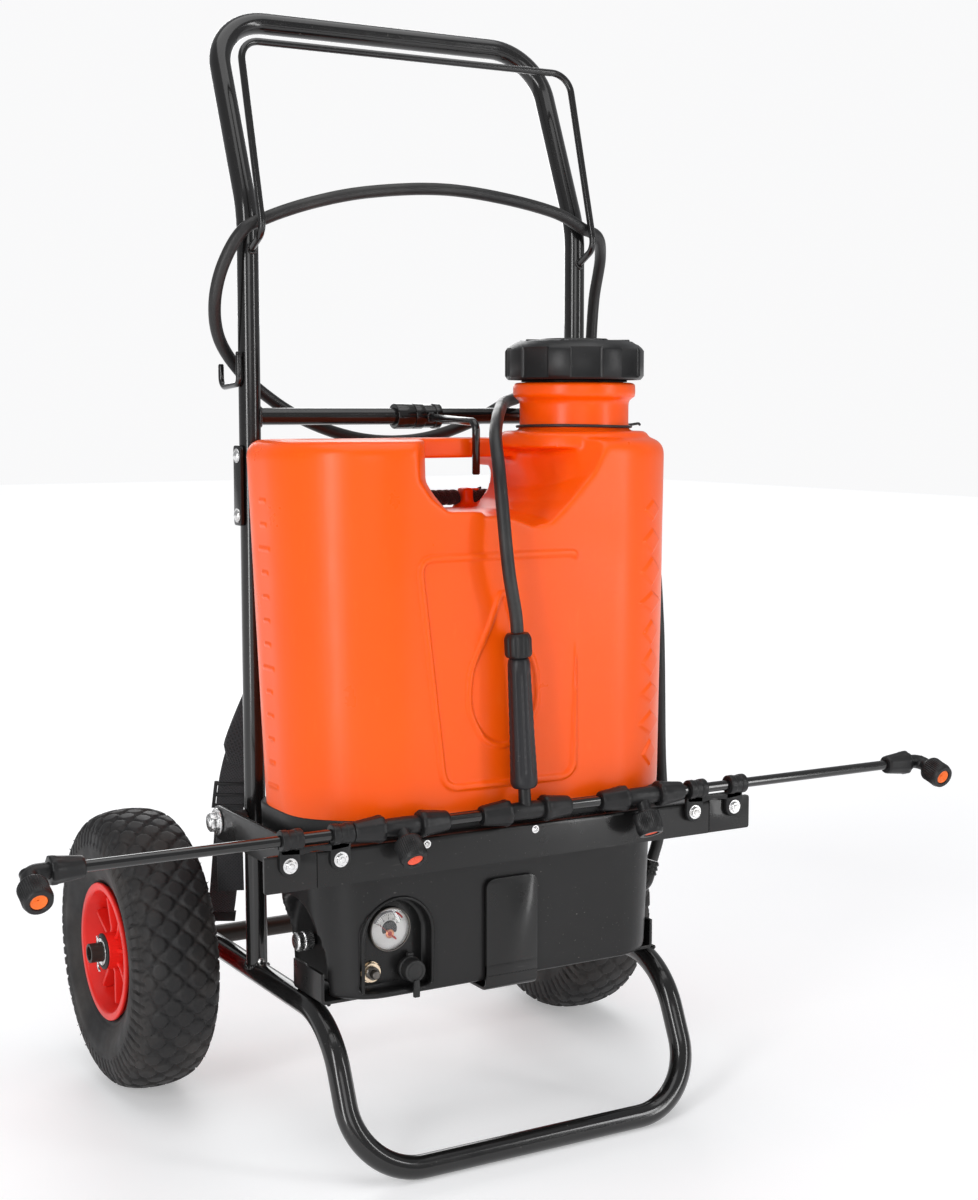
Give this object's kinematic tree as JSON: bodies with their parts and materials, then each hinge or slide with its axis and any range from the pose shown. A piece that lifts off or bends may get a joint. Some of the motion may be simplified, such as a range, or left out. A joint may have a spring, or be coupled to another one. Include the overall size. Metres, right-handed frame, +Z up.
{
  "type": "wheeled sprayer cart",
  "caption": "Knapsack sprayer tank strapped on a two-wheel tube trolley, with a front spray boom, a hose looped over the handle and a pressure gauge panel in its base.",
  "frame": {"origin": "on the ground, midway between the wheels across the cart, straight below the uprights", "axes": "+X to the right as seen from the front, -Y the front with the boom and the gauge, +Z up"},
  "size_m": [0.8884, 0.4974, 0.9884],
  "materials": {
    "frame_paint": "gloss black",
    "boom_paint": "gloss black",
    "tyre_rubber": "matte black, moulded tread",
    "red_plastic": "satin red",
    "zinc": "bright zinc plate",
    "black_plastic": "satin black",
    "orange_plastic": "satin blow-moulded orange",
    "battery_case": "matte grey",
    "dial": "white printed dial in a metal case",
    "clear_lens": "clear moulded lens",
    "rubber": "matte black",
    "webbing": "black woven webbing"
  },
  "bodies": {
    "cart": {"base_loop": "frame_paint", "rear_axle": "frame_paint", "handle_frame": "frame_paint", "crossbar": "frame_paint", "hose_bail": "frame_paint", "hose_hook": "frame_paint", "splice_plate": "frame_paint", "tray_bar": "frame_paint", "catch_strap": "frame_paint", "arm_left": "frame_paint", "arm_right": "frame_paint", "front_plate": "frame_paint", "boom_tube_outer_left": "boom_paint", "boom_tube_middle_left": "boom_paint", "boom_tube_middle_right": "boom_paint", "boom_tube_outer_right": "boom_paint", "axle_washer_left": "zinc", "axle_washer_right": "zinc", "arm_bolt_left": "zinc", "arm_bolt_right": "zinc", "switch_body": "zinc", "strainer_basket": "black_plastic", "cap_tether": "black_plastic", "base_housing": "black_plastic", "base_cover": "black_plastic", "pump": "black_plastic", "outlet_elbow": "black_plastic", "charge_socket": "black_plastic", "boom_clip_left": "black_plastic", "boom_clip_right": "black_plastic", "centre_tee": "black_plastic", "lance_grip": "black_plastic", "tank": "orange_plastic", "battery": "battery_case", "gauge_case": "dial", "gauge_lens": "clear_lens", "spray_hose": "rubber", "strap_left": "webbing", "strap_right": "webbing"},
    "wheel_left": {"tyre_left": "tyre_rubber", "rim_left": "red_plastic", "hub_bush_left": "black_plastic"},
    "wheel_right": {"tyre_right": "tyre_rubber", "rim_right": "red_plastic", "hub_bush_right": "black_plastic"},
    "cap": {"tank_cap": "black_plastic"},
    "hook": {"tank_hook": "frame_paint"},
    "regulator": {"regulator_knob": "zinc"},
    "button": {"switch_button": "zinc"},
    "socket_flap": {"socket_cap": "rubber"},
    "needle": {"gauge_needle": "red_plastic"},
    "hose_nut": {"grip_nut": "black_plastic"},
    "nozzle_end_left": {"nozzle_body_end_left": "black_plastic", "nozzle_cap_end_left": "black_plastic"},
    "nozzle_inner_left": {"nozzle_body_inner_left": "black_plastic", "nozzle_cap_inner_left": "black_plastic"},
    "nozzle_inner_right": {"nozzle_body_inner_right": "black_plastic", "nozzle_cap_inner_right": "black_plastic"},
    "nozzle_end_right": {"nozzle_body_end_right": "black_plastic", "nozzle_cap_end_right": "black_plastic"}
  },
  "joints": [
    {"name": "wheel_left_spin", "type": "hinge", "parent": "cart", "child": "wheel_left", "pos_m": [-0.235, 0.128, 0.13], "axis": [1, 0, 0], "continuous": true},
    {"name": "wheel_right_spin", "type": "hinge", "parent": "cart", "child": "wheel_right", "pos_m": [0.235, 0.128, 0.13], "axis": [1, 0, 0], "continuous": true},
    {"name": "cap_turn", "type": "hinge", "parent": "cart", "child": "cap", "pos_m": [0.104, -0.1, 0.68], "axis": [0, 0, 1], "range_deg": [0, 360]},
    {"name": "tank_hook_swing", "type": "hinge", "parent": "cart", "child": "hook", "pos_m": [-0.004, 0, 0.627], "axis": [-1, 0, 0], "range_deg": [0, 100]},
    {"name": "regulator_turn", "type": "hinge", "parent": "cart", "child": "regulator", "pos_m": [-0.16, -0.084, 0.178], "axis": [-1, 0, 0], "range_deg": [0, 270]},
    {"name": "switch_press", "type": "slide", "parent": "cart", "child": "button", "axis": [0, 1, 0], "range_m": [0, 0.002], "stiffness_N_per_m": 150},
    {"name": "socket_cap_hinge", "type": "hinge", "parent": "cart", "child": "socket_flap", "pos_m": [-0.098, -0.1627, 0.178], "axis": [-1, 0, 0], "range_deg": [0, 80]},
    {"name": "gauge_needle_turn", "type": "hinge", "parent": "cart", "child": "needle", "pos_m": [-0.116, -0.1611, 0.197], "axis": [0, 1, 0], "range_deg": [0, 95], "stiffness_Nm_per_rad": 0.0005},
    {"name": "hose_nut_turn", "type": "hinge", "parent": "cart", "child": "hose_nut", "pos_m": [-0.0164, -0.203, 0.4388], "axis": [-0.0523, 0, 0.9986], "range_deg": [0, 360]},
    {"name": "nozzle_end_left_swivel", "type": "hinge", "parent": "cart", "child": "nozzle_end_left", "pos_m": [-0.433, -0.203, 0.298], "axis": [1, 0, 0], "range_deg": [-85, 37]},
    {"name": "nozzle_inner_left_swivel", "type": "hinge", "parent": "cart", "child": "nozzle_inner_left", "pos_m": [-0.127, -0.203, 0.298], "axis": [1, 0, 0], "range_deg": [-102, 20]},
    {"name": "nozzle_inner_right_swivel", "type": "hinge", "parent": "cart", "child": "nozzle_inner_right", "pos_m": [0.109, -0.203, 0.298], "axis": [1, 0, 0], "range_deg": [-122, 0]},
    {"name": "nozzle_end_right_swivel", "type": "hinge", "parent": "cart", "child": "nozzle_end_right", "pos_m": [0.433, -0.203, 0.298], "axis": [1, 0, 0], "range_deg": [-78, 44]}
  ]
}
